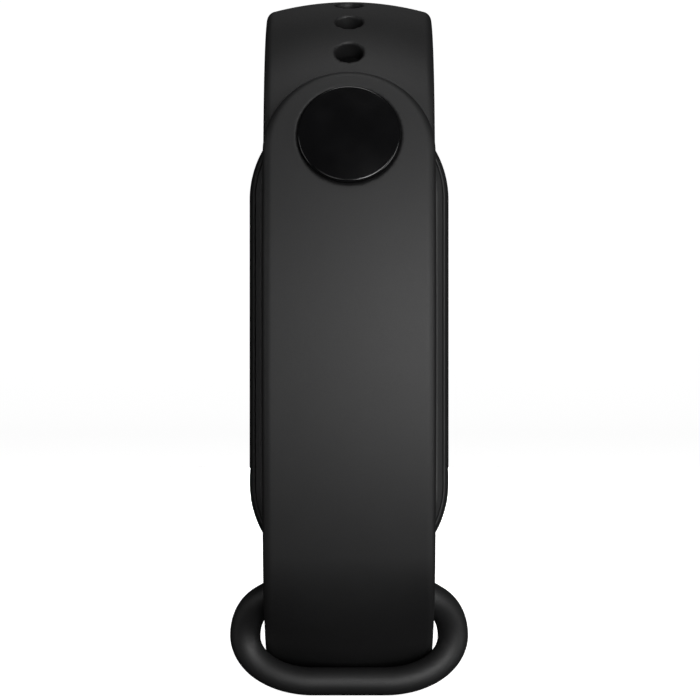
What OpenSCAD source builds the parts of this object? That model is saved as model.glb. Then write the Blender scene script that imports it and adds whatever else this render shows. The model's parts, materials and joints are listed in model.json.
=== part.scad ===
// Fitness tracker band: a rubber strap with a peg-and-hole clasp and a keeper loop,
// holding a sealed sensor capsule. X is the wrist's axis, +Z is up, the clasp faces -Y
// and the capsule's glass faces +Y. The origin is the middle of the wrist opening.

/* [Strap] */
// Width of both strap arms
strap_w = 16; // [15.6:0.1:16.2]
// Thickness of an arm at its middle
strap_t = 2; // [1.8:0.05:2.1]
// Gap between the two arms where one lies over the other
layer_gap = 0.1; // [0.08:0.01:0.2]
// Radius of each hole along the holed arm
hole_r = 1.42; // [1.42:0.01:1.6]
// Distance between neighbouring holes
hole_pitch = 5.05; // [4.9:0.05:5.2]
// Holes on the keeper's side of the one that the stud is in
holes_below = 6; // [2:1:6]
// Holes on the capsule's side of the one that the stud is in
holes_above = 5; // [3:1:5]

/* [Clasp] */
// Radius of the stud's cap
cap_r = 4.75; // [4:0.05:5]
// How far the cap stands out of the arm's crown
cap_proud = 0.5; // [0.3:0.05:0.7]
// Radius of the post through the arm
post_r = 1.7; // [1.6:0.05:2]
// Radius of the knob that goes into a hole
knob_r = 1.3; // [1.1:0.05:1.3]
// Radius of the keeper loop's round section
keeper_r = 1.46; // [1.3:0.02:1.46]
// Half the keeper's width, to the middle of its section
keeper_x = 9.9; // [9.82:0.02:10]

/* [Capsule] */
// Width of the capsule
capsule_w = 18.4; // [18.2:0.05:18.5]
// Length of the capsule
capsule_l = 47.4; // [47:0.1:47.8]
// Width of the cradle round the capsule
cradle_w = 20.8; // [20.6:0.1:21.2]
// Wall thickness of the rear housing
wall = 1.2; // [1:0.05:1.25]
// Gap between the capsule and its cradle
seat_gap = 0.06; // [0.04:0.01:0.1]

/* [Hidden] */
$fn = 96;

// The loop's outer line in the YZ plane is a chain of tangent arcs, each [y, z, radius].
// Angles are tilts of the outward normal: 0 faces the clasp side, 90 faces up.
inset = strap_t + layer_gap;
tilt_heel = -19.5;
tilt_base = -58;
tilt_brow = 22.1;
tilt_top = 90;
tilt_roof_root = 108;
tilt_base_root = 112;
tilt_rim = 137;
front = [38.1, 0.85, 60];
heel = next_arc(front, tilt_heel, 17);
base = next_arc(heel, tilt_base, 31.5);
brow = next_arc([front[0], front[1], front[2] - inset], tilt_brow, 18.4);
roof = next_arc(brow, tilt_top, 43);

// Clasp places, as tilts on the front arc
tilt_hinge = 3;
tilt_tip_centre = 17.3;
tilt_stud = 18.5;
tilt_tip = 26;
tip_r = strap_w / 2;
FACET = 0.02;
// Steps that stand for the crown across an arm: [width, depth below the crown]
CROWN = [[strap_w, 1.3], [strap_w - 0.7, 0.9], [strap_w - 1.8, 0.45], [strap_w - 5.6, 0]];

// Where the thick roots of the arms meet the cradle's back, about the capsule's middle
y_root = 17.4;
root_z = 21.5;
cap_seat = 0.45;
knob_end = 0.05;
tilt_keeper = -38;
tilt_arm_end = -31.4;

// Keeper: its run follows an arc inside the stud arm, then drops outside it
keeper_arc_r = 12.95;
keeper_turn = 14.7;
keeper_bend = 75;
keeper_bend_r = 5.9;
keeper_top = [9.8, 7.5];
keeper_low = [6.5, 4.4];
keeper_len = 11.93;
keeper_thin = 0.13;
KEEPER_SIDES = 18;
KEEPER_RINGS = 68;

// Capsule levels along Y, from the wrist side to the glass
capsule_z = 0.88;
y_plateau = 16.6;
y_lip = 16.8;
y_seat = 17.75;
y_back = 17.8;
y_rim = 27.4;
y_glass = 28.15;
y_front = 30.2;
lip_in = 1.7;
y_floor = y_plateau + 1.1;
y_shelf = y_back + 1.1;
y_housing = 28;
plateau_w = capsule_w - 2 * lip_in - 0.2;
plateau_l = capsule_l - 2 * lip_in - 0.2;
inner_w = capsule_w - 2 * wall;
inner_l = capsule_l - 2 * wall;
window_r = 4.4;
contact_x = 2.6;
contact_z = -15;
contact_r = 1.1;
screw_x = 4.6;
screw_z = 17.5;
y_board = 25;
board_t = 0.6;
motor_z = 11.6;
motor_y = 21.6;
motor_r = 2;
shaft_r = 0.4;
weight_r = 1.9;

// --- placing ---------------------------------------------------------------

// Point in the YZ plane at a tilt and radius about an arc's centre
function on_arc(arc, tilt, r) = [arc[0] - r * cos(tilt), arc[1] + r * sin(tilt)];

// The arc of another radius that carries on from an arc at a tilt
function next_arc(arc, tilt, r) =
    let (c = on_arc(arc, tilt, arc[2] - r))
    [c[0], c[1], r];

// Tilt of a hole, for its distance along the holed arm from the stud's hole
function hole_tilt(s) =
    let (to_brow = (tilt_brow - tilt_stud) * PI / 180 * (front[2] - inset))
    s <= to_brow
        ? tilt_stud + s / (front[2] - inset) * 180 / PI
        : tilt_brow + (s - to_brow) / brow[2] * 180 / PI;

// Children drawn along the outward normal: their z = 0 is at radius r on the arc
module facing(arc, tilt, r) {
    p = on_arc(arc, tilt, r);
    translate([0, p[0], p[1]]) rotate([90 - tilt, 0, 0]) children();
}

// Points along an arc between two tilts, at a depth below it, close enough to look round
function arc_points(arc, from, to, drop) =
    let (n = ceil(abs(to - from) / (2 * acos(1 - FACET / arc[2]))))
    [for (i = [0 : n]) on_arc(arc, from + (to - from) * i / n, arc[2] - drop)];

// An arm's side outline: each run is [arc, from tilt, to tilt, depth of its outer face]
function outer_line(runs, drop) =
    [for (r = runs) each arc_points(r[0], r[1], r[2], r[3] + drop)];
function inner_line(runs) =
    [for (i = [len(runs) - 1 : -1 : 0])
        let (r = runs[i]) each arc_points(r[0], r[2], r[1], r[3] + strap_t)];

// An arm from its root to its free end. Its crown is stepped across the width.
module arm(runs, root_runs = [], root_point = []) {
    for (step = CROWN)
        rotate([90, 0, 90])
            translate([0, 0, -step[0] / 2])
                linear_extrude(step[0])
                    polygon(concat(outer_line(concat(root_runs, runs), step[1]),
                                   inner_line(runs), root_point));
}

// A big block on one side of the arm's cross plane at a tilt: 1 is above it, -1 below
module beyond(arc, tilt, side) {
    facing(arc, tilt, 0) translate([-20, side > 0 ? 0 : -40, 0]) cube([40, 40, 90]);
}

module stadium(w, l) {
    square([w, l - w], center = true);
    for (end = [-1, 1]) translate([0, end * (l - w) / 2]) circle(w / 2);
}

// Children drawn in the XZ plane about the capsule's middle, from y0 to y1
module slab(y0, y1) {
    translate([0, y1, capsule_z])
        rotate([90, 0, 0])
            linear_extrude(y1 - y0) children();
}

// A box about the capsule's middle: x and z centre, size, from y0 to y1
module chip(x, z, w, l, y0, y1) {
    slab(y0, y1) translate([x, z]) square([w, l], center = true);
}

// A round pin along Y at a place about the capsule's middle
module pin_y(x, z, r, y0, y1) {
    slab(y0, y1) translate([x, z]) circle(r);
}

// A round bar along X at a height and depth in the capsule
module bar_x(r, x0, x1, y, z) {
    translate([x0, y, capsule_z + z]) rotate([0, 90, 0]) cylinder(r = r, h = x1 - x0);
}

// --- strap -----------------------------------------------------------------

// The space that the cradle takes up, without its pocket
module cradle_block() {
    slab(y_lip, y_rim) stadium(cradle_w, cradle_w + 2 * 14.8);
}

// What an arm loses to the cradle and to the plane of the cradle's rim
module cradle_cut() {
    cradle_block();
    translate([-20, y_rim, -60]) cube([40, 20, 120]);
}

module strap_cradle() {
    color("#26272a")
    difference() {
        cradle_block();
        slab(y_seat, y_rim + 1)
            stadium(capsule_w + 2 * seat_gap, capsule_l + 2 * seat_gap);
        slab(y_lip - 1, y_rim)
            stadium(capsule_w - 2 * lip_in, capsule_l - 2 * lip_in);
    }
}

module strap_hole_arm() {
    runs = [[roof, tilt_roof_root, tilt_top, 0], [brow, tilt_top, tilt_brow, 0],
            [front, tilt_brow, tilt_heel, inset], [heel, tilt_heel, tilt_arm_end, inset]];
    color("#2a2b2e")
    difference() {
        arm(runs, [[roof, tilt_rim, tilt_roof_root, 0]], [[y_root, capsule_z + root_z]]);
        cradle_cut();
        for (i = [-holes_below : holes_above]) {
            tilt = hole_tilt(i * hole_pitch);
            if (tilt <= tilt_brow)
                facing(front, tilt, front[2] - inset - 4) cylinder(r = hole_r, h = 6);
            else
                facing(brow, tilt, brow[2] - 4) cylinder(r = hole_r, h = 6);
        }
    }
}

module strap_stud_arm() {
    runs = [[base, -tilt_base_root, tilt_base, 0], [heel, tilt_base, tilt_heel, 0],
            [front, tilt_heel, tilt_hinge, 0]];
    color("#2a2b2e")
    difference() {
        arm(runs, [[base, -tilt_rim, -tilt_base_root, 0]], [[y_root, capsule_z - root_z]]);
        cradle_cut();
    }
}

module strap_tail() {
    color("#2c2d30")
    difference() {
        intersection() {
            arm([[front, tilt_hinge, tilt_tip, 0]]);
            union() {
                beyond(front, tilt_tip_centre, -1);
                facing(front, tilt_tip_centre, front[2] - 8) cylinder(r = tip_r, h = 12);
            }
        }
        facing(front, tilt_stud, front[2] - cap_seat) cylinder(r = cap_r + 0.05, h = 4);
        facing(front, tilt_stud, front[2] - 5) cylinder(r = post_r + 0.02, h = 6);
    }
}

// --- keeper loop -----------------------------------------------------------

// Place in the YZ plane at a distance along the keeper's run from its top bar
function keeper_run(s) =
    let (
        turn_s = keeper_turn * PI / 180 * keeper_arc_r,
        bend_s = keeper_bend * PI / 180 * keeper_bend_r,
        tilt_turn = tilt_keeper - keeper_turn,
        p_turn = on_arc(heel, tilt_turn, keeper_arc_r),
        bend = on_arc([p_turn[0], p_turn[1]], tilt_turn, keeper_bend_r),
        tilt_end = tilt_turn + keeper_bend,
        p_end = on_arc(bend, tilt_end, -keeper_bend_r)
    )
    s <= turn_s ? on_arc(heel, tilt_keeper - s / keeper_arc_r * 180 / PI, keeper_arc_r)
    : s <= turn_s + bend_s
        ? on_arc(bend, tilt_turn + (s - turn_s) / keeper_bend_r * 180 / PI, -keeper_bend_r)
    : p_end + (s - turn_s - bend_s) * [-sin(tilt_end), -cos(tilt_end)];

// Half outline of the keeper in its own run, from the top bar's middle to the low bar's
function keeper_half(u) =
    let (
        flat_top = keeper_x - keeper_top[0],
        turn_top = PI / 4 * (keeper_top[0] + keeper_top[1]),
        side = keeper_len - keeper_top[1] - keeper_low[1],
        turn_low = PI / 4 * (keeper_low[0] + keeper_low[1]),
        flat_low = keeper_x - keeper_low[0],
        total = flat_top + turn_top + side + turn_low + flat_low,
        d = u * total
    )
    d <= flat_top ? [d, 0]
    : d <= flat_top + turn_top
        ? let (a = (d - flat_top) / turn_top * 90)
          [flat_top + keeper_top[0] * sin(a), keeper_top[1] * (1 - cos(a))]
    : d <= flat_top + turn_top + side ? [keeper_x, keeper_top[1] + d - flat_top - turn_top]
    : d <= flat_top + turn_top + side + turn_low
        ? let (a = (d - flat_top - turn_top - side) / turn_low * 90)
          [keeper_x - keeper_low[0] * (1 - cos(a)),
           keeper_len - keeper_low[1] + keeper_low[1] * sin(a)]
    : [total - d, keeper_len];

// Middle of the keeper's section, once round the loop for u from 0 to 2
function keeper_line(u) =
    let (
        p = keeper_half(u > 1 ? 2 - u : u),
        q = keeper_run(p[1])
    )
    [(u > 1 ? -1 : 1) * p[0], q[0], q[1]];

// The section thins from the sides to the low bar
function keeper_radius(u) =
    let (
        s = keeper_half(u > 1 ? 2 - u : u)[1],
        low = max(s - keeper_len + keeper_low[1], 0) / keeper_low[1]
    )
    keeper_r - keeper_thin * low;

function unit(v) = v / norm(v);

module keeper_tube() {
    step = 2 / KEEPER_RINGS;
    points = [
        for (i = [0 : KEEPER_RINGS - 1])
            let (
                u = i * step,
                here = keeper_line(u),
                ahead = keeper_line((u + 0.002) % 2),
                behind = keeper_line((u + 1.998) % 2),
                along = unit(ahead - behind),
                across = unit(cross(along, [0, -1, 0.35])),
                up = cross(across, along)
            )
            for (j = [0 : KEEPER_SIDES - 1])
                let (a = 360 * j / KEEPER_SIDES)
                here + keeper_radius(u) * (cos(a) * across + sin(a) * up)
    ];
    faces = [
        for (i = [0 : KEEPER_RINGS - 1])
            let (n = (i + 1) % KEEPER_RINGS)
            for (j = [0 : KEEPER_SIDES - 1])
                let (k = (j + 1) % KEEPER_SIDES)
                for (tri = [[[i, j], [i, k], [n, k]], [[i, j], [n, k], [n, j]]])
                    [for (c = tri) c[0] * KEEPER_SIDES + c[1]]
    ];
    polyhedron(points, faces);
}

module keeper_loop() {
    color("#232427")
    difference() {
        union() {
            keeper_tube();
            arm([[heel, tilt_keeper, tilt_arm_end, inset]]);
        }
        beyond(heel, tilt_arm_end, 1);
    }
}

// --- stud ------------------------------------------------------------------

module stud_cap() {
    color("#0a0a0b")
    facing(front, tilt_stud, front[2] - cap_seat)
        intersection() {
            cylinder(r = cap_r, h = 3);
            translate([0, 0, cap_seat + cap_proud - 40]) sphere(r = 40, $fn = 200);
        }
}

module stud_post() {
    color("#111214")
    facing(front, tilt_stud, front[2] - strap_t - layer_gap - strap_t + knob_end) {
        cylinder(r = knob_r, h = strap_t + layer_gap);
        translate([0, 0, strap_t + layer_gap - knob_end])
            cylinder(r = post_r, h = strap_t - cap_seat);
    }
}

// --- capsule shell ---------------------------------------------------------

module rear_housing() {
    color("#17181a")
    difference() {
        union() {
            slab(y_back, y_housing) stadium(capsule_w, capsule_l);
            slab(y_plateau, y_back + 0.5) stadium(plateau_w, plateau_l);
        }
        slab(y_shelf, y_housing + 1) stadium(inner_w, inner_l);
        slab(y_floor, y_shelf + 1) stadium(plateau_w - 2 * wall, plateau_l - 2 * wall);
        pin_y(0, 0, window_r + 0.05, y_plateau - 1, y_floor + 1);
        for (side = [-1, 1])
            pin_y(side * contact_x, contact_z, contact_r + 0.4, y_plateau - 1, y_floor + 1);
    }
}

module cover_glass() {
    color("#060607")
    intersection() {
        slab(y_glass, y_front) stadium(capsule_w, capsule_l);
        translate([0, y_front - 40, -60]) cylinder(r = 40, h = 120, $fn = 240);
        translate([-20, y_front - 180, capsule_z]) rotate([0, 90, 0])
            cylinder(r = 180, h = 40, $fn = 360);
    }
}

module glass_adhesive() {
    color("#1b1b1b")
    slab(y_housing, y_glass) difference() {
        stadium(capsule_w - 0.3, capsule_l - 0.3);
        stadium(inner_w, inner_l);
    }
}

// --- display ---------------------------------------------------------------

module touch_sensor() {
    color("#3a3d42")
    slab(27.87, y_glass) stadium(14.4, 42);
}

module display_panel() {
    color("#101418")
    chip(0, 1, 11.6, 28, 27, 27.86);
}

module display_foam() {
    color("#202224")
    chip(0, 1, 11, 26, 26.85, 27);
}

module display_flex() {
    color("#b4702a")
    translate([-3, 0, capsule_z])
        rotate([90, 0, 90])
            linear_extrude(6)
                polygon([[27.1, -13], [27.3, -13], [27.3, -17.3], [25.9, -17.3],
                         [25.9, -14.6], [26.1, -14.6], [26.1, -17.1], [27.1, -17.1]]);
}

// --- board -----------------------------------------------------------------

module inner_frame() {
    color("#3b3e44")
    difference() {
        union() {
            slab(24.1, 24.95) difference() {
                stadium(inner_w - 0.2, inner_l - 0.2);
                stadium(13, 33);
            }
            for (x = [-screw_x, screw_x])
                for (z = [-screw_z, screw_z])
                    pin_y(x, z, 1.1, 21.6, 24.5);
        }
        for (x = [-screw_x, screw_x])
            for (z = [-screw_z, screw_z])
                pin_y(x, z, 0.4, 22.4, 26);
    }
}

module main_board() {
    color("#1d5a3a")
    slab(y_board, y_board + board_t) difference() {
        stadium(15.4, 44);
        for (x = [-screw_x, screw_x])
            for (z = [-screw_z, screw_z])
                translate([x, z]) circle(0.5);
    }
}

module processor() {
    color("#15171a")
    chip(-1, 2, 5, 5, y_board + board_t, y_board + board_t + 0.7);
}

module board_chips() {
    color("#1a1c20")
    for (spot = [[4.4, 3, 2.4, 3.2], [-4, 10.5, 3, 2.2], [3.6, 11, 2, 2], [-3.8, -8, 2.6, 3]])
        chip(spot[0], spot[1], spot[2], spot[3],
             y_board + board_t, y_board + board_t + 0.6);
}

module shield_can() {
    color("#b9bcc0")
    difference() {
        chip(-1, 2, 7, 7.4, y_board + board_t, 26.75);
        chip(-1, 2, 6.6, 7, y_board, 26.6);
    }
}

module board_connectors() {
    color("#d8d2c4")
    {
        chip(0, -13.2, 6.4, 2.6, y_board + board_t, 26.6);
        chip(0, 8, 5, 1.2, 24.4, y_board);
    }
}

module board_screws() {
    color("#9a9da2")
    for (x = [-screw_x, screw_x])
        for (z = [-screw_z, screw_z]) {
            pin_y(x, z, 0.4, 22.5, y_board + board_t);
            pin_y(x, z, 0.85, y_board + board_t, y_board + board_t + 0.4);
        }
}

module antenna() {
    color("#c58a3c")
    slab(19.4, 23.4) intersection() {
        difference() {
            stadium(inner_w - 0.1, inner_l - 0.1);
            stadium(inner_w - 0.6, inner_l - 0.6);
        }
        translate([0, 24.2]) square([14, 10], center = true);
    }
}

// --- battery ---------------------------------------------------------------

module battery_cell() {
    color("#8d9096")
    chip(0, -3.3, 13.4, 21, 20.2, 23.9);
}

module battery_board() {
    color("#1d5a3a")
    chip(0, 7.5, 9, 0.5, 20.6, 23.6);
}

module battery_leads() {
    color("#b03028")
    for (x = [-1.6, 1.6]) pin_y(x, 7.5, 0.2, 23.6, 24.4);
}

// --- vibration motor -------------------------------------------------------

module motor_can() {
    color("#a8abb0")
    difference() {
        bar_x(motor_r, -5.3, 1, motor_y, motor_z);
        bar_x(shaft_r + 0.04, -4.5, 2, motor_y, motor_z);
    }
}

module motor_boot() {
    color("#1c1d1f")
    difference() {
        bar_x(motor_r + 0.5, -4.6, 0.2, motor_y, motor_z);
        bar_x(motor_r, -6, 2, motor_y, motor_z);
    }
}

module motor_leads() {
    color("#2f58a8")
    for (dz = [-0.7, 0.7]) pin_y(-5.5, motor_z + dz, 0.2, motor_y, y_board);
}

module motor_shaft() {
    color("#d0d2d5")
    bar_x(shaft_r, -4.4, 5.4, motor_y, motor_z);
}

module motor_weight() {
    color("#6f7277")
    difference() {
        intersection() {
            bar_x(weight_r, 1.6, 5.1, motor_y, motor_z);
            translate([0, motor_y - 5, capsule_z + motor_z - 10 + 0.7]) cube([10, 10, 10]);
        }
        bar_x(shaft_r, 1, 6, motor_y, motor_z);
    }
}

// --- heart-rate sensor -----------------------------------------------------

module sensor_board() {
    color("#245c48")
    chip(0, 0, 11, 11, 19.2, 19.8);
}

module green_leds() {
    color("#6fd08a")
    for (z = [-2.6, 2.6]) chip(0, z, 1.2, 1.2, 18.6, 19.2);
}

module photodiodes() {
    color("#22262c")
    for (x = [-2.4, 2.4]) chip(x, 0, 1.8, 2.6, 18.7, 19.2);
}

module light_barrier() {
    color("#0d0d0e")
    slab(y_floor + 0.05, 19.2) difference() {
        circle(4.3);
        for (x = [-2.4, 2.4]) translate([x, 0]) square([2.2, 3], center = true);
        for (z = [-2.6, 2.6]) translate([0, z]) square([1.6, 1.6], center = true);
    }
}

module sensor_window() {
    color("#0b0c0e")
    pin_y(0, 0, window_r, y_plateau - 0.2, y_floor);
}

// --- charging --------------------------------------------------------------

module charge_contacts() {
    color("#c9a24a")
    for (side = [-1, 1]) {
        pin_y(side * contact_x, contact_z, contact_r, y_plateau - 0.05, y_floor + 0.3);
        pin_y(side * contact_x, contact_z, 0.5, y_floor, 20.1);
    }
}

module contact_seals() {
    color("#2a2a2b")
    for (side = [-1, 1])
        slab(y_plateau + 0.15, y_floor)
            translate([side * contact_x, contact_z]) difference() {
                circle(contact_r + 0.4);
                circle(contact_r);
            }
}

module charger_magnets() {
    color("#7d8086")
    for (z = [-18.6, -10.6]) chip(0, z, 5, 2.6, y_floor, 19);
}

strap_cradle();
strap_hole_arm();
keeper_loop();
strap_stud_arm();
strap_tail();
stud_cap();
stud_post();
rear_housing();
cover_glass();
glass_adhesive();
touch_sensor();
display_panel();
display_foam();
display_flex();
inner_frame();
main_board();
processor();
board_chips();
shield_can();
board_connectors();
battery_cell();
battery_board();
battery_leads();
motor_can();
motor_boot();
motor_leads();
motor_shaft();
motor_weight();
sensor_board();
green_leds();
photodiodes();
light_barrier();
sensor_window();
charge_contacts();
contact_seals();
charger_magnets();
antenna();
board_screws();
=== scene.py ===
import json
import math

import bpy
import numpy as np
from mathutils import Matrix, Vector


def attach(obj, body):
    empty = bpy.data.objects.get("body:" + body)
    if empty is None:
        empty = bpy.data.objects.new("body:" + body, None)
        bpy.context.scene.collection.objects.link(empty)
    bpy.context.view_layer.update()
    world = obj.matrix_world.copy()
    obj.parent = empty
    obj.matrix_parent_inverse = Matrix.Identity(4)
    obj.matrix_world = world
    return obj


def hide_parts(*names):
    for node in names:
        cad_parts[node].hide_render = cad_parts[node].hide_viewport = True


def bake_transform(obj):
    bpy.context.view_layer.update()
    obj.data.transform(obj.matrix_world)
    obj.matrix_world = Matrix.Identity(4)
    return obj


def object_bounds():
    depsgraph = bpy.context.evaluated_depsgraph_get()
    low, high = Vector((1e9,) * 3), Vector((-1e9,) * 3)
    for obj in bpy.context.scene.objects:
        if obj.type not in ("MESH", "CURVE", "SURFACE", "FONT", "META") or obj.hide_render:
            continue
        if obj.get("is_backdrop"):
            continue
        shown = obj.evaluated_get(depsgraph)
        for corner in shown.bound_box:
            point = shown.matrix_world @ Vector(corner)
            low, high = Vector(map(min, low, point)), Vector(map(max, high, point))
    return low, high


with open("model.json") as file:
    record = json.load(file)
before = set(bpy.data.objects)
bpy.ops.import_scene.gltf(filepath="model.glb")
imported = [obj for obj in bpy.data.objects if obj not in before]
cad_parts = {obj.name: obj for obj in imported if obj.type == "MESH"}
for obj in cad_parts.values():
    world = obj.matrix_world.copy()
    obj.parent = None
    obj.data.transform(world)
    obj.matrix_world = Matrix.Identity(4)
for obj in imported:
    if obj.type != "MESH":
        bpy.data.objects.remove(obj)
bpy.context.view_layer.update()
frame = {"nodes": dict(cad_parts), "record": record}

# X is the wrist's axis, +Z is up, and the clasp faces -Y. Shapes are worked out in millimetres,
# most of them as signed distances that are negative inside, and turned to metres at the end.
MM = 0.001

# --- the loop's side outline, as in the CAD --------------------------------------------

# An arc is (y, z, radius) in the YZ plane. A tilt is an angle in degrees about an arc's centre,
# 0 straight ahead and 90 straight up.

STRAP_W = 16.0
STRAP_T = 2.0
# The stud arm's outer face lies this far outside the holed arm's, with a fine gap between them.
LAYER = STRAP_T + 0.1
# Curvatures of an arm's outer face across its width, and the radius of its inner face.
CROWN, FLAT = 1 / 28.0, 1 / 75.0
HOLLOW_R = 60.0
EDGE_ROUND = 0.66
TILT_END, TILT_HEEL, TILT_BASE = -31.4, -19.5, -58.0
TILT_BROW, TILT_TOP, TILT_RIM = 22.1, 90.0, 138.0
TILT_HINGE, TILT_STUD, TILT_TIP_CENTRE, TILT_TIP = 3.0, 18.5, 17.3, 26.0
HOLE_R, HOLE_PITCH, HOLES_BELOW, HOLES_ABOVE = 1.35, 5.05, 6, 5
# How far a hole's or seat's cutter reaches past the face, enough to pass through an arm.
CUTTER_REACH = 4
CAP_R, CAP_SEAT, CAP_PROUD = 4.75, 0.45, 0.5
CAPSULE_Z, CAPSULE_W, CAPSULE_L = 0.88, 18.4, 47.4
CRADLE_R, CRADLE_HALF = 10.4, 14.8
Y_LIP, Y_SEAT, Y_RIM, Y_GLASS, Y_FRONT = 16.8, 17.75, 27.4, 28.15, 30.2
LIP_IN = 1.7
SEAT_GAP = 0.06
# The cradle's wall draws in by BARREL from Y_WIDE to the wrist face. That face slopes away over
# its outer SLOPE_IN, and a fine bead runs along the slope.
Y_WIDE, BARREL = 22.5, 0.42
SLOPE, SLOPE_IN = 0.9, 1.35
BEAD_IN, BEAD_Y, BEAD_R = 0.62, 17.39, 0.15
# Radii of the fillets and rounded edges of the one-piece moulding.
ROOT_FILLET, KEEPER_FILLET = 2.6, 1.3
BLOCK_ROUND, RIM_ROUND, SEAT_ROUND, WINDOW_ROUND = 0.25, 0.4, 0.22, 0.3
HOLE_ROUND, CAP_SEAT_ROUND = 0.1, 0.12


def on_arc(arc, tilt, r):
    """Point in the YZ plane at a tilt and radius about an arc's centre."""
    a = math.radians(tilt)
    return arc[0] - r * math.cos(a), arc[1] + r * math.sin(a)


def next_arc(arc, tilt, r):
    """The arc of another radius that carries on from an arc at a tilt."""
    return (*on_arc(arc, tilt, arc[2] - r), r)


def inner(arc):
    """The same arc one layer further in, where the holed arm lies under the stud arm."""
    return arc[0], arc[1], arc[2] - LAYER


FRONT = (38.1, 0.85, 60.0)
HEEL = next_arc(FRONT, TILT_HEEL, 17.0)
BASE = next_arc(HEEL, TILT_BASE, 31.5)
BROW = next_arc(inner(FRONT), TILT_BROW, 18.4)
ROOF = next_arc(BROW, TILT_TOP, 43.0)

HOLE_CHAIN = [(inner(HEEL), TILT_END, TILT_HEEL), (inner(FRONT), TILT_HEEL, TILT_BROW),
              (BROW, TILT_BROW, TILT_TOP), (ROOF, TILT_TOP, TILT_RIM)]
STUD_CHAIN = [(BASE, -TILT_RIM, TILT_BASE), (HEEL, TILT_BASE, TILT_HEEL),
              (FRONT, TILT_HEEL, TILT_TIP)]

# --- signed distances --------------------------------------------------------------------


def hypot(a, b):
    return np.sqrt(a * a + b * b)


def cut(a, b, r):
    """What is in both, with their shared edge rounded to r."""
    return np.minimum(np.maximum(a, b), -r) + hypot(np.maximum(a + r, 0), np.maximum(b + r, 0))


def join(a, b, r):
    """What is in either, with a fillet of r where they meet."""
    return -cut(-a, -b, r)


def less(a, b, r):
    """a without b, with the edge rounded to r."""
    return cut(a, -b, r)


def along_chain(y, z, chain):
    """For each point, its height above a chain of arcs, its way along it, and its tilt."""
    best = np.full(y.shape, 1e9, np.float32)
    height = np.zeros_like(best)
    way = np.zeros_like(best)
    tilt_at = np.zeros_like(best)
    start = 0.0
    for arc, low, high in chain:
        dy, dz = arc[0] - y, z - arc[1]
        tilt = np.degrees(np.arctan2(dz, dy))
        n = hypot(dy, dz) - arc[2]
        over = np.maximum(np.maximum(low - tilt, tilt - high), 0) * math.radians(1) * arc[2]
        score = hypot(n, over)
        s = start + np.radians(tilt - low) * arc[2]
        better = score < best
        best = np.where(better, score, best)
        height = np.where(better, n, height)
        way = np.where(better, s, way)
        tilt_at = np.where(better, tilt, tilt_at)
        start += math.radians(high - low) * arc[2]
    return height, way, tilt_at


def way_at(chain, arc_number, tilt):
    """Distance along a chain to a tilt on one of its arcs."""
    before = sum(math.radians(h - l) * a[2] for a, l, h in chain[:arc_number])
    arc, low, _ = chain[arc_number]
    return before + math.radians(tilt - low) * arc[2]


def band(x, n, edge, curve, thick=STRAP_T, r=EDGE_ROUND):
    """An arm's section: crowned outside, a little hollow inside, with round edges."""
    crown = curve * x * x / 2
    hollow = x * x / (2 * HOLLOW_R)
    return cut(np.maximum(n + crown, -(n + thick + hollow)), edge, r)


def ease(value, low, high):
    """0 below low, 1 above high, and smooth between."""
    t = np.clip((value - low) / (high - low), 0, 1)
    return t * t * (3 - 2 * t)


def stadium(x, z, half, r):
    """An upright shape of two half circles, with their centres half above and below zero."""
    return hypot(x, np.maximum(np.abs(z) - half, 0)) - r


def facing(arc, tilt):
    """Origin and outward normal, in the YZ plane, of a place on an arc."""
    a = math.radians(tilt)
    return on_arc(arc, tilt, arc[2]), (-math.cos(a), math.sin(a))


def shaft(x, y, z, arc, tilt):
    """Distance from the axis normal to an arc at a tilt, and height above the arc there."""
    (py, pz), (ny, nz) = facing(arc, tilt)
    up = (y - py) * ny + (z - pz) * nz
    side = (y - py) * nz - (z - pz) * ny
    return hypot(x, side), up


# --- keeper loop -------------------------------------------------------------------------

# The keeper's middle line is a rounded loop, laid along a run in the YZ plane. The run follows
# the heel for KEEPER_TURN degrees, bends forward by KEEPER_BEND degrees and then goes straight.
KEEPER_X, KEEPER_ARC, KEEPER_TILT = 9.9, 12.95, -38.0
KEEPER_TURN, KEEPER_BEND, KEEPER_BEND_R = 14.7, 75.0, 5.9
# The loop's length along the run, and its corners' half widths across and along.
KEEPER_LEN, KEEPER_TOP, KEEPER_LOW = 11.93, (9.8, 7.5), (6.5, 4.4)
KEEPER_R_SIDE, KEEPER_R_BAR = 1.46, 1.33
BAR_STEPS = 14
FAR = 9.0


def keeper_run(s):
    """Place in the YZ plane at a distance along the keeper from its top bar."""
    turn_s = math.radians(KEEPER_TURN) * KEEPER_ARC
    bend_s = math.radians(KEEPER_BEND) * KEEPER_BEND_R
    turned = KEEPER_TILT - KEEPER_TURN
    p = on_arc(HEEL, turned, KEEPER_ARC)
    bend = on_arc(p, turned, KEEPER_BEND_R)
    end = turned + KEEPER_BEND
    if s <= turn_s:
        return on_arc(HEEL, KEEPER_TILT - math.degrees(s / KEEPER_ARC), KEEPER_ARC)
    if s <= turn_s + bend_s:
        return on_arc(bend, turned + math.degrees((s - turn_s) / KEEPER_BEND_R), -KEEPER_BEND_R)
    y, z = on_arc(bend, end, -KEEPER_BEND_R)
    rest, a = s - turn_s - bend_s, math.radians(end)
    return y - rest * math.sin(a), z - rest * math.cos(a)


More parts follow.
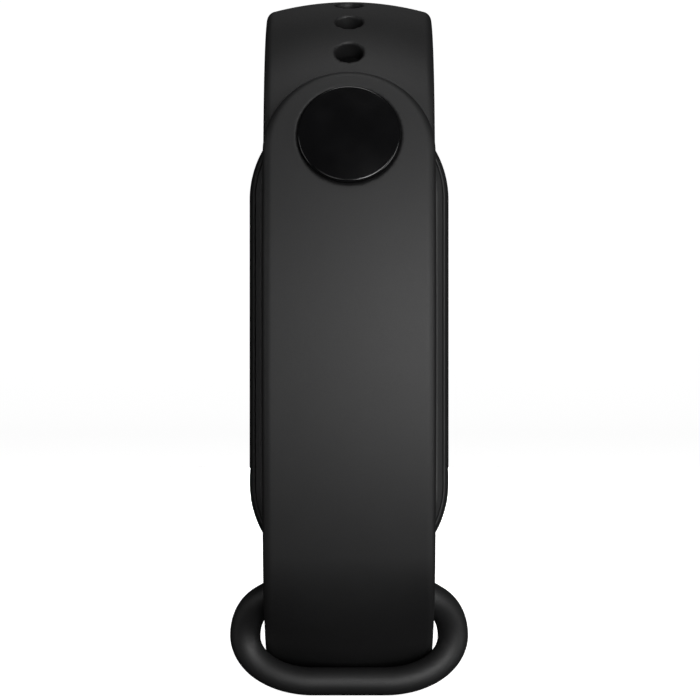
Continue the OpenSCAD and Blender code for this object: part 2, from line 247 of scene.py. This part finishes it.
def keeper_half(steps=48):
    """Points along half of the keeper's middle line, from top bar to low bar, with radii."""
    across = []
    for i in range(steps + 1):
        a = math.pi / 2 * i / steps
        x = KEEPER_X - KEEPER_TOP[0] * (1 - math.sin(a))
        across.append((x, KEEPER_TOP[1] * (1 - math.cos(a))))
    for i in range(steps + 1):
        a = math.pi / 2 * i / steps
        x = KEEPER_X - KEEPER_LOW[0] * (1 - math.cos(a))
        across.append((x, KEEPER_LEN - KEEPER_LOW[1] * (1 - math.sin(a))))
    bar = KEEPER_X - KEEPER_LOW[0]
    across += [(bar * (1 - i / BAR_STEPS), KEEPER_LEN) for i in range(1, BAR_STEPS + 1)]
    points = []
    for x, s in across:
        low = max(s - KEEPER_LEN + KEEPER_LOW[1], 0) / KEEPER_LOW[1]
        r = KEEPER_R_SIDE + (KEEPER_R_BAR - KEEPER_R_SIDE) * low
        points.append((x, *keeper_run(s), r))
    return np.array(points, np.float32)


KEEPER_POINTS = keeper_half()


def keeper(x, y, z):
    """Signed distance to the keeper's round section, by the stretches of its middle line.

    It is worked out only in the low front part of the frame, and is FAR elsewhere."""
    d = np.full(x.shape, FAR, np.float32)
    near = (z < -17) & (y < 0)
    p = np.stack([np.abs(x[near]), y[near], z[near]], 1)
    best = np.full(len(p), FAR, np.float32)
    for a, b in zip(KEEPER_POINTS, KEEPER_POINTS[1:]):
        run = b[:3] - a[:3]
        t = np.clip((p - a[:3]) @ run / max(run @ run, 1e-9), 0, 1)
        gap = np.sqrt(((p - a[:3] - t[:, None] * run) ** 2).sum(1))
        best = np.minimum(best, gap - a[3] - t * (b[3] - a[3]))
    d[near] = best
    return d


# --- the strap's solids ------------------------------------------------------------------

# Where the two skins overlap at the cradle's foot, in tilts on BASE: the root's end, and the
# stud arm's start, which lies a little inside the root.
ROOT_END, ARM_START = -98, -122
# About how far a degree of tilt goes on BASE.
MM_PER_DEGREE = 0.55
# The holed arm runs on by this much past its first arc, into the keeper.
ARM_PAST = 1.5


def hole_tilt(s):
    """Arc and tilt of a hole at a distance along the holed arm from the stud's hole."""
    flat_r = FRONT[2] - LAYER
    to_brow = math.radians(TILT_BROW - TILT_STUD) * flat_r
    if s <= to_brow:
        return inner(FRONT), TILT_STUD + math.degrees(s / flat_r)
    return BROW, TILT_BROW + math.degrees((s - to_brow) / BROW[2])


def hole_arm(x, y, z):
    """The holed arm, flat where the stud arm lies on it and crowned over the top."""
    n, way, tilt = along_chain(y, z, HOLE_CHAIN)
    edge = np.maximum(np.abs(x) - STRAP_W / 2, -way - ARM_PAST)
    return band(x, n, edge, FLAT + (CROWN - FLAT) * ease(tilt, 20, 70))


def arm_root(x, y, z):
    """The stretch of the stud arm that the cradle's moulding runs out into."""
    n, _, tilt = along_chain(y, z, STUD_CHAIN)
    # It stands a hair proud of the stud arm at the cradle, and sinks below it towards its end.
    sink = 0.02 - 0.12 * np.clip((tilt + 114) / 14, 0, 1)
    edge = np.maximum(np.abs(x) - STRAP_W / 2 - sink, (tilt - ROOT_END) * MM_PER_DEGREE)
    return band(x, n - sink, edge, CROWN, STRAP_T + 2 * sink)


def carrier(x, y, z):
    """Cradle, holed arm and keeper loop: one moulding."""
    zc = z - CAPSULE_Z
    barrel = BARREL * np.clip((Y_WIDE - y) / (Y_WIDE - Y_LIP), 0, 1) ** 2
    outside = stadium(x, zc, CRADLE_HALF, CRADLE_R)
    wrist_face = Y_LIP + SLOPE * np.clip(outside + SLOPE_IN, 0, 2) - y
    block = cut(outside + barrel, np.maximum(wrist_face, y - Y_RIM), BLOCK_ROUND)
    d = join(block, hole_arm(x, y, z), ROOT_FILLET)
    d = join(d, arm_root(x, y, z), ROOT_FILLET)
    d = cut(d, y - Y_RIM, RIM_ROUND)
    half = (CAPSULE_L - CAPSULE_W) / 2
    seat = np.maximum(stadium(x, zc, half, CAPSULE_W / 2 + SEAT_GAP), Y_SEAT - y)
    window = stadium(x, zc, half, CAPSULE_W / 2 - LIP_IN)
    d = less(d, seat, SEAT_ROUND)
    d = less(d, window, WINDOW_ROUND)
    for i in range(-HOLES_BELOW, HOLES_ABOVE + 1):
        arc, tilt = hole_tilt(i * HOLE_PITCH)
        across, up = shaft(x, y, z, arc, tilt)
        d = less(d, np.maximum(across - HOLE_R, np.abs(up) - CUTTER_REACH), HOLE_ROUND)
    return join(d, keeper(x, y, z), KEEPER_FILLET)


def stud_arm(x, y, z):
    """The arm from the cradle's foot through the keeper to its round tip."""
    n, way, tilt = along_chain(y, z, STUD_CHAIN)
    # It sinks into the root towards the cradle, so that the skins' seam stays hidden.
    sink = -0.1 * np.clip((-104 - tilt) / 18, 0, 1)
    centre = way_at(STUD_CHAIN, 2, TILT_TIP_CENTRE)
    outline = hypot(x, np.maximum(way - centre, 0)) - STRAP_W / 2
    start = way_at(STUD_CHAIN, 0, ARM_START)
    curve = CROWN + (FLAT - CROWN) * ease(tilt, TILT_BASE, -24)
    edge = np.maximum(outline - sink, start - way)
    edge_round = EDGE_ROUND + 0.12 * ease(tilt, -50, -24)
    d = band(x, n - sink, edge, curve, STRAP_T + 2 * sink, edge_round)
    across, up = shaft(x, y, z, FRONT, TILT_STUD)
    seat = np.maximum(across - CAP_R - 0.08, -CAP_SEAT - up)
    return less(d, np.maximum(seat, up - CUTTER_REACH), CAP_SEAT_ROUND)


# --- turning a signed distance into a mesh ---------------------------------------------------


def evaluate(field, axes, cell, coarse=4, margin=1.9):
    """The field on a grid. Away from the surface a coarse grid says which side it is.

    A coarse cell counts as near the surface within margin of its own size."""
    x, y, z = np.meshgrid(*[a[::coarse] for a in axes], indexing="ij")
    rough = field(x, y, z)
    near = np.abs(rough) < coarse * cell * margin
    d = np.repeat(np.repeat(np.repeat(rough, coarse, 0), coarse, 1), coarse, 2)
    mask = np.repeat(np.repeat(np.repeat(near, coarse, 0), coarse, 1), coarse, 2)
    shape = [len(a) for a in axes]
    d = np.ascontiguousarray(d[: shape[0], : shape[1], : shape[2]])
    mask = mask[: shape[0], : shape[1], : shape[2]].copy()
    for axis in range(3):
        grown = mask.copy()
        for shift in (coarse, -coarse):
            grown |= np.roll(mask, shift, axis)
        mask = grown
    i, j, k = np.nonzero(mask)
    d[i, j, k] = field(axes[0][i], axes[1][j], axes[2][k])
    return d


def crossed_cells(inside):
    """Grid cells that have corners on both sides of the surface."""
    n = [size - 1 for size in inside.shape]
    count = np.zeros(n, np.int8)
    for i in (0, 1):
        for j in (0, 1):
            for k in (0, 1):
                count += inside[i:n[0] + i, j:n[1] + j, k:n[2] + k]
    return np.nonzero((count > 0) & (count < 8))


def cell_points(d, cells):
    """One point in each cell: the mean of where the surface crosses the cell's edges."""
    total = np.zeros((len(cells[0]), 3))
    hits = np.zeros(len(cells[0]))
    for axis in range(3):
        step = np.eye(3, dtype=int)[axis]
        others = [a for a in range(3) if a != axis]
        for p in (0, 1):
            for q in (0, 1):
                at = [cells[a].copy() for a in range(3)]
                at[others[0]] = at[others[0]] + p
                at[others[1]] = at[others[1]] + q
                a = d[tuple(at)]
                b = d[tuple(at[m] + step[m] for m in range(3))]
                crossed = (a < 0) != (b < 0)
                t = np.where(crossed, a / np.where(crossed, a - b, 1), 0)
                for m in range(3):
                    total[:, m] += crossed * (at[m] + t * step[m])
                hits += crossed
    return total / hits[:, None]


def cell_faces(inside, index):
    """A quad round every grid edge that the surface crosses, facing out."""
    n = index.shape
    faces = []
    for axis in range(3):
        u, v = [a for a in range(3) if a != axis]
        first = [slice(None)] * 3
        second = [slice(None)] * 3
        first[axis], second[axis] = slice(0, -1), slice(1, None)
        i = np.array(np.nonzero(inside[tuple(first)] != inside[tuple(second)]))
        keep = (i[u] > 0) & (i[v] > 0) & (i[u] < n[u]) & (i[v] < n[v])
        i = i[:, keep]
        corners = []
        for du, dv in ((1, 1), (0, 1), (0, 0), (1, 0)):
            c = i.copy()
            c[u] -= du
            c[v] -= dv
            corners.append(index[tuple(c)])
        quad = np.stack(corners, 1)
        flip = inside[tuple(i)] ^ (axis == 1)
        quad[~flip] = quad[~flip][:, ::-1]
        faces.append(quad)
    return np.concatenate(faces)


def surface(name, field, low, high, cell):
    """A quad mesh of the field's zero surface, with its points settled onto it."""
    axes = [np.arange(a, b + 4 * cell, cell, dtype=np.float32) for a, b in zip(low, high)]
    d = evaluate(field, axes, cell)
    inside = d < 0
    cells = crossed_cells(inside)
    index = np.full([size - 1 for size in d.shape], -1, np.int64)
    index[cells] = np.arange(len(cells[0]))
    points = cell_points(d, cells) * cell + np.array([a[0] for a in axes])
    settle(field, points, cell)
    return make_mesh(name, points * MM, cell_faces(inside, index))


def settle(field, p, cell, rounds=3, probe=0.02, share=0.9, least_slope=0.2):
    """Moves points onto the field's zero surface along its gradient."""
    for _ in range(rounds):
        f = field(p[:, 0], p[:, 1], p[:, 2])
        g = [field(*(p + probe * e).T) - field(*(p - probe * e).T) for e in np.eye(3)]
        g = np.stack(g, 1) / (2 * probe)
        size = np.maximum((g * g).sum(1), least_slope)
        move = np.clip(f / size, -cell / 2, cell / 2)
        p -= share * move[:, None] * g


def make_mesh(name, points, faces):
    """A smooth-shaded object, from points in metres."""
    mesh = bpy.data.meshes.new(name)
    mesh.from_pydata(np.asarray(points).tolist(), [], [list(map(int, f)) for f in faces])
    mesh.validate()
    mesh.update()
    mesh.shade_smooth()
    piece = bpy.data.objects.new(name, mesh)
    bpy.context.collection.objects.link(piece)
    return piece


# --- lathe and ring lofts --------------------------------------------------------------------


def lathe(name, outline, origin, normal, sides=128):
    """A turned piece: outline is (radius, height) pairs from the axis outwards and back."""
    n = Vector(normal).normalized()
    u = Vector((1, 0, 0))
    v = n.cross(u)
    points, faces, rows = [], [], []
    for r, h in outline:
        if r == 0:
            rows.append([len(points)] * sides)
            points.append(Vector(origin) + n * h)
            continue
        rows.append(list(range(len(points), len(points) + sides)))
        for i in range(sides):
            a = 2 * math.pi * i / sides
            points.append(Vector(origin) + n * h + (u * math.cos(a) + v * math.sin(a)) * r)
    for a, b in zip(rows, rows[1:]):
        for i in range(sides):
            j = (i + 1) % sides
            quad = [a[i], a[j], b[j], b[i]]
            faces.append(list(dict.fromkeys(quad)))
    return make_mesh(name, [p * MM for p in points], faces)


def arc_steps(count, start, end):
    """Even steps from start to end, with both in."""
    return [start + (end - start) * i / count for i in range(count + 1)]


def stadium_rings(name, rings, turn_steps=64, side_steps=24):
    """A closed loft over stadiums about the capsule's middle. A ring is (inset, height
    function), and flat faces close the first and the last."""
    half = (CAPSULE_L - CAPSULE_W) / 2
    outline = []
    for start, side, z0 in ((0.0, -1.0, half), (math.pi, 1.0, -half)):
        for i in range(turn_steps):
            a = start + math.pi * i / turn_steps
            outline.append((math.cos(a), math.sin(a), z0))
        for t in arc_steps(side_steps, z0, -z0)[:-1]:
            outline.append((side, 0.0, t))
    points, faces = [], []
    for inset, height in rings:
        r = CAPSULE_W / 2 - inset
        for ux, uz, z0 in outline:
            x, z = ux * r, z0 + uz * r
            points.append((x, height(x, z), CAPSULE_Z + z))
    n = len(outline)
    for k in range(len(rings) - 1):
        for i in range(n):
            j = (i + 1) % n
            faces.append([k * n + i, k * n + j, (k + 1) * n + j, (k + 1) * n + i])
    faces.append(list(range(n))[::-1])
    faces.append(list(range((len(rings) - 1) * n, len(rings) * n)))
    return make_mesh(name, np.array(points) * MM, faces)


# --- materials -----------------------------------------------------------------------------


class Nodes:
    """Short ways to build one material's node tree."""

    def __init__(self, name):
        self.material = bpy.data.materials.new(name)
        self.material.use_nodes = True
        self.tree = self.material.node_tree
        self.shader = self.tree.nodes["Principled BSDF"]
        self.place = self.new("ShaderNodeTexCoord").outputs["Object"]

    def new(self, kind, **values):
        node = self.tree.nodes.new(kind)
        for key, value in values.items():
            setattr(node, key, value)
        return node

    def link(self, source, target):
        self.tree.links.new(source, target)

    def noise(self, per_mm, detail=4.0, rough=0.55):
        node = self.new("ShaderNodeTexNoise")
        node.inputs["Scale"].default_value = per_mm / MM
        node.inputs["Detail"].default_value = detail
        node.inputs["Roughness"].default_value = rough
        self.link(self.place, node.inputs["Vector"])
        return node.outputs["Fac"]

    def spread(self, source, low, high):
        """A noise's usual range, carried over to a range of values."""
        node = self.new("ShaderNodeMapRange")
        node.inputs["From Min"].default_value = 0.3
        node.inputs["From Max"].default_value = 0.7
        node.inputs["To Min"].default_value = low
        node.inputs["To Max"].default_value = high
        self.link(source, node.inputs["Value"])
        return node.outputs["Result"]

    def two_tone(self, source, dark, light):
        node = self.new("ShaderNodeMix", data_type="RGBA")
        node.inputs["A"].default_value = (*dark, 1)
        node.inputs["B"].default_value = (*light, 1)
        self.link(source, node.inputs["Factor"])
        return node.outputs["Result"]

    def bump(self, source, strength, depth_mm):
        node = self.new("ShaderNodeBump")
        node.inputs["Strength"].default_value = strength
        node.inputs["Distance"].default_value = depth_mm * MM
        self.link(source, node.inputs["Height"])
        self.link(node.outputs["Normal"], self.shader.inputs["Normal"])

    def set(self, **values):
        """Sets the shader's inputs by name, with _ for a space."""
        for key, value in values.items():
            self.shader.inputs[key.replace("_", " ")].default_value = value


def shade(rgb, factor):
    """A colour made darker or lighter by a factor."""
    return tuple(min(c * factor, 1.0) for c in rgb)


def moulded(name, rgb, rough, grain_per_mm=9.0, depth=0.006, spread=0.06):
    """Moulded rubber or plastic: a fine grain, faint mottling and uneven sheen."""
    m = Nodes(name)
    mottle = m.spread(m.noise(0.35, 3.0), 0, 1)
    m.link(m.two_tone(mottle, shade(rgb, 0.93), shade(rgb, 1.07)), m.shader.inputs["Base Color"])
    grain = m.noise(grain_per_mm, 3.0, 0.6)
    m.link(m.spread(grain, rough - spread, rough + spread), m.shader.inputs["Roughness"])
    m.bump(grain, 0.35, depth)
    return m.material


def polished(name, rgb, rough=0.08, coat=0.0):
    """Polished plastic or glass: nearly even, with faint handling haze."""
    m = Nodes(name)
    haze = m.noise(0.25, 2.0)
    m.link(m.two_tone(haze, shade(rgb, 0.9), shade(rgb, 1.1)), m.shader.inputs["Base Color"])
    m.link(m.spread(haze, rough * 0.8, rough * 1.3), m.shader.inputs["Roughness"])
    m.set(Coat_Weight=coat, Coat_Roughness=0.03)
    return m.material


def metal(name, rgb, rough=0.3, stretch=(1, 1, 8)):
    """Metal with fine drawing marks."""
    m = Nodes(name)
    mapping = m.new("ShaderNodeMapping")
    mapping.inputs["Scale"].default_value = stretch
    m.link(m.place, mapping.inputs["Vector"])
    m.place = mapping.outputs["Vector"]
    lines = m.noise(6.0, 4.0, 0.7)
    m.link(m.two_tone(lines, shade(rgb, 0.85), shade(rgb, 1.12)), m.shader.inputs["Base Color"])
    m.link(m.spread(lines, rough - 0.08, rough + 0.1), m.shader.inputs["Roughness"])
    m.bump(lines, 0.2, 0.004)
    m.set(Metallic=1.0)
    return m.material


def board(name, rgb):
    """Circuit board: solder mask over darker copper tracks."""
    m = Nodes(name)
    tracks = m.new("ShaderNodeTexBrick")
    tracks.inputs["Scale"].default_value = 0.5 / MM
    tracks.inputs["Mortar Size"].default_value = 0.04
    tracks.inputs["Color1"].default_value = (*shade(rgb, 0.8), 1)
    tracks.inputs["Color2"].default_value = (*rgb, 1)
    tracks.inputs["Mortar"].default_value = (*shade(rgb, 1.7), 1)
    turn = m.new("ShaderNodeMapping")
    turn.inputs["Rotation"].default_value = (math.pi / 2, 0, 0)
    m.link(m.place, turn.inputs["Vector"])
    m.link(turn.outputs["Vector"], tracks.inputs["Vector"])
    m.link(tracks.outputs["Color"], m.shader.inputs["Base Color"])
    m.link(m.spread(m.noise(2.0), 0.3, 0.45), m.shader.inputs["Roughness"])
    m.bump(tracks.outputs["Fac"], 0.3, 0.01)
    return m.material


RUBBER = (0.008, 0.008, 0.0083)


def materials():
    """One material for each slot of the record, from its maker and that maker's values."""
    recipes = {
        "strap_rubber": (moulded, RUBBER, 0.56, 8.0, 0.004, 0.05),
        "stud_gloss": (polished, (0.0035, 0.0035, 0.0038), 0.16),
        "housing_black": (moulded, (0.012, 0.012, 0.013), 0.42, 12.0, 0.005),
        "cover_glass": (polished, (0.003, 0.003, 0.0035), 0.04, 1.0),
        "adhesive": (moulded, (0.01, 0.01, 0.01), 0.7),
        "touch_film": (polished, (0.03, 0.032, 0.036), 0.2),
        "display": (polished, (0.006, 0.008, 0.011), 0.12),
        "foam": (moulded, (0.02, 0.02, 0.021), 0.9, 6.0, 0.05),
        "flex_film": (polished, (0.42, 0.17, 0.03), 0.3),
        "frame_plastic": (moulded, (0.07, 0.075, 0.085), 0.5),
        "circuit_board": (board, (0.012, 0.09, 0.04)),
        "chip_black": (moulded, (0.012, 0.012, 0.014), 0.55, 14.0, 0.008),
        "shield_metal": (metal, (0.62, 0.62, 0.6), 0.32),
        "connector": (moulded, (0.5, 0.45, 0.36), 0.45),
        "battery_foil": (metal, (0.5, 0.5, 0.52), 0.38, (1, 6, 1)),
        "lead_red": (moulded, (0.35, 0.02, 0.02), 0.4),
        "lead_blue": (moulded, (0.02, 0.06, 0.3), 0.4),
        "motor_steel": (metal, (0.6, 0.6, 0.6), 0.25, (8, 1, 1)),
        "weight_metal": (metal, (0.3, 0.3, 0.31), 0.5),
        "led_green": (polished, (0.12, 0.45, 0.14), 0.15),
        "photodiode": (polished, (0.012, 0.014, 0.02), 0.1),
        "sensor_window": (polished, (0.004, 0.0045, 0.005), 0.06),
        "contact_gold": (metal, (0.8, 0.56, 0.22), 0.2),
        "magnet": (metal, (0.5, 0.5, 0.52), 0.22),
        "antenna_metal": (metal, (0.75, 0.42, 0.2), 0.3),
        "screw_steel": (metal, (0.55, 0.55, 0.56), 0.3),
    }
    return {slot: make(slot, *values) for slot, (make, *values) in recipes.items()}


MATERIALS = materials()


def finish_piece(piece, slot, body=None):
    """Gives a piece its slot and material, and its body if it has just one."""
    piece.data.materials.clear()
    piece.data.materials.append(MATERIALS[slot])
    if body:
        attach(piece, body)
    return piece


# --- the pieces ------------------------------------------------------------------------------

# The size of the grid's cells, which sets how fine the strap's skins are.
CELL = 0.2


def bead_path(reach=1.12, turn_steps=24, side_steps=40):
    """Half of the cradle's outline, from radians before its straight side to as much after."""
    path = []
    for a in arc_steps(turn_steps, -reach, 0)[:-1]:
        path.append((math.cos(a), math.sin(a), -CRADLE_HALF))
    path += [(1.0, 0.0, t) for t in arc_steps(side_steps, -CRADLE_HALF, CRADLE_HALF)]
    for a in arc_steps(turn_steps, 0, reach)[1:]:
        path.append((math.cos(a), math.sin(a), CRADLE_HALF))
    return path


def cradle_bead(sides=10, taper_rows=8):
    """The fine raised line along both long sides of the cradle's wrist face."""
    path = bead_path()
    points, faces, rows = [], [], 0
    for side in (1, -1):
        first = rows
        for i, (ux, uz, z0) in enumerate(path):
            end = min(i, len(path) - 1 - i)
            thick = BEAD_R * min(1, (end + 0.5) / taper_rows)
            for j in range(sides):
                a = 2 * math.pi * j / sides
                out = CRADLE_R - BEAD_IN + thick * math.cos(a)
                depth = BEAD_Y + thick * math.sin(a)
                points.append((side * ux * out, depth, CAPSULE_Z + z0 + uz * out))
            rows += 1
        for k in range(first, rows - 1):
            for j in range(sides):
                n = (j + 1) % sides
                quad = [k * sides + j, k * sides + n, (k + 1) * sides + n, (k + 1) * sides + j]
                faces.append(quad if side > 0 else quad[::-1])
        for k, turn in ((first, 1), (rows - 1, -1)):
            cap = [k * sides + j for j in range(sides)][::turn]
            faces.append(cap[::-1] if side > 0 else cap)
    bead = make_mesh("cradle_bead", np.array(points) * MM, faces)
    finish_piece(bead, "strap_rubber", "strap")


def strap_pieces():
    """The strap's two skins: the carrier, and the stud arm."""
    carrier_mesh = surface("strap_carrier", carrier, (-12.2, -21, -34), (12.2, 28.2, 35), CELL)
    finish_piece(carrier_mesh, "strap_rubber", "strap")
    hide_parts("strap_cradle", "strap_hole_arm", "keeper_loop")
    arm = surface("strap_stud_arm_skin", stud_arm, (-8.6, -22.8, -34), (8.6, 24, 28), CELL)
    finish_piece(arm, "strap_rubber")
    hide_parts("strap_stud_arm", "strap_tail")
    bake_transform(arm)


def stud_piece():
    """The gloss cap: a shallow dome with a small rolled rim, in its round seat."""
    (y, z), (ny, nz) = facing(FRONT, TILT_STUD)
    dome, soft = 60.0, 0.2
    under = -CAP_SEAT + 0.02
    outline = [(0, CAP_PROUD)]
    for r in arc_steps(14, 0, CAP_R - soft)[1:]:
        outline.append((r, CAP_PROUD - dome + math.sqrt(dome * dome - r * r)))
    top = outline[-1][1]
    for a in arc_steps(10, 0, 90)[1:]:
        turn = math.radians(a)
        outline.append((CAP_R - soft + soft * math.sin(turn), top - soft * (1 - math.cos(turn))))
    outline += [(CAP_R, -0.2), (CAP_R - 0.1, under), (0, under)]
    cap = lathe("stud_cap_turned", outline, (0, y, z), (0, ny, nz))
    finish_piece(cap, "stud_gloss", "strap_end")
    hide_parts("stud_cap")


def glass_piece():
    """The capsule's cover glass: crowned, with softly ground edges."""
    crown_x, crown_z, edge = 40, 180, 0.9

    def crown(x, z):
        return Y_FRONT - x * x / (2 * crown_x) - z * z / (2 * crown_z)

    rings = [(0.12, lambda x, z: Y_GLASS), (0.0, lambda x, z: Y_GLASS + 0.12)]
    for a in arc_steps(10, 0, 90):
        c, s = math.cos(math.radians(a)), math.sin(math.radians(a))
        drop = edge * 0.75 * (1 - s)
        rings.append((edge * (1 - c), lambda x, z, drop=drop: crown(x, z) - drop))
    for inset in arc_steps(12, edge, CAPSULE_W / 2 - 0.02)[1:]:
        rings.append((inset, crown))
    glass = stadium_rings("cover_glass_ground", rings)
    finish_piece(glass, "cover_glass", "capsule")
    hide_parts("cover_glass")


REPLACED = {"strap_cradle", "strap_hole_arm", "keeper_loop", "strap_stud_arm", "strap_tail",
            "stud_cap", "cover_glass"}
BEVEL, HOUSING_BEVEL, BEVEL_ANGLE = 0.05, 0.12, 40


def cad_nodes():
    """The CAD nodes that stay get their slot's material and a fine bevel."""
    slots = {s["node"]: s["material_slot"] for s in frame["record"]["subparts"]}
    for name, node in frame["nodes"].items():
        if name in REPLACED:
            continue
        while node.data.materials:
            node.data.materials.pop()
        node.data.materials.append(MATERIALS[slots[name]])
        bevel = node.modifiers.new("edges", "BEVEL")
        bevel.width = MM * (HOUSING_BEVEL if name == "rear_housing" else BEVEL)
        bevel.segments = 2
        bevel.limit_method = "ANGLE"
        bevel.angle_limit = math.radians(BEVEL_ANGLE)


strap_pieces()
cradle_bead()
stud_piece()
glass_piece()
cad_nodes()

# --- stage, light and camera -------------------------------------------------------------------

CAMERA_Y = -322.0
LENS, SENSOR = 169.2, 36.0
LAMP_DISTANCE = 0.6


def stage():
    """A plain pale floor that curves up all round and closes overhead, in metres.

    It glows faintly and evenly, but lights nothing and shows in no reflection."""
    radius, sweep, height, sides = 1.5, 0.5, 1.6, 96
    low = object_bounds()[0][2] - 0.0001
    line = [(0.0, low), (0.3, low)]
    for a in arc_steps(16, 0, 90):
        turn = math.radians(a)
        line.append((radius - sweep + sweep * math.sin(turn), low + sweep * (1 - math.cos(turn))))
    line += [(radius, height), (0.0, height + 0.4)]
    outline = [(r / MM, h / MM) for r, h in line]
    floor = lathe("floor", outline, (0, 0, 0), (0, 0, 1), sides)
    m = Nodes("floor")
    m.link(m.two_tone(m.noise(0.02), (0.93, 0.93, 0.93), (0.97, 0.97, 0.97)),
           m.shader.inputs["Base Color"])
    m.set(Roughness=0.9, Emission_Color=(1, 1, 1, 1), Emission_Strength=0.95)
    floor.data.materials.append(m.material)
    floor.visible_glossy = False
    floor.visible_diffuse = False
    floor.visible_shadow = False
    floor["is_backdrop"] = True


def softbox(name, place, size, power):
    """An area lamp aimed at the frame's origin."""
    light = bpy.data.lights.new(name, "AREA")
    light.shape = "RECTANGLE"
    light.size, light.size_y = size
    light.energy = power
    lamp = bpy.data.objects.new(name, light)
    lamp.location = place
    lamp.rotation_euler = (-Vector(place)).to_track_quat("-Z", "Y").to_euler()
    bpy.context.collection.objects.link(lamp)


def light():
    """Softboxes: azimuth and elevation from straight ahead, width and height in metres, watts."""
    world = bpy.data.worlds.new("studio")
    bpy.context.scene.world = world
    world.use_nodes = True
    world.node_tree.nodes["Background"].inputs["Color"].default_value = (1, 1, 1, 1)
    world.node_tree.nodes["Background"].inputs["Strength"].default_value = 0.0
    boxes = {
        "key": (17, 3, 0.20, 0.46, 2.5),
        "side": (62, -2, 0.20, 0.45, 1.15),
        "fill": (-16, -3, 0.20, 0.30, 0.3),
        "left": (-72, 5, 0.15, 0.40, 0.4),
        "top": (8, 72, 0.22, 0.25, 0.75),
        "back": (180, 1, 0.08, 0.12, 1.6),
        "back_top": (180, 45, 0.35, 0.25, 0.09),
    }
    for name, (azimuth, elevation, wide, tall, power) in boxes.items():
        a, e, d = math.radians(azimuth), math.radians(elevation), LAMP_DISTANCE
        place = (d * math.sin(a) * math.cos(e), -d * math.cos(a) * math.cos(e), d * math.sin(e))
        softbox(name, place, (wide, tall), power)


def camera():
    """A long lens from straight ahead, level with the frame's origin."""
    data = bpy.data.cameras.new("camera")
    data.lens = LENS
    data.sensor_width = SENSOR
    data.shift_x = 0.0013
    data.clip_start = 0.01
    eye = bpy.data.objects.new("camera", data)
    eye.location = (0, CAMERA_Y * MM, 0)
    eye.rotation_euler = (math.pi / 2, 0, 0)
    bpy.context.collection.objects.link(eye)
    bpy.context.scene.camera = eye


stage()
light()
camera()
bpy.context.scene.view_settings.view_transform = "Standard"
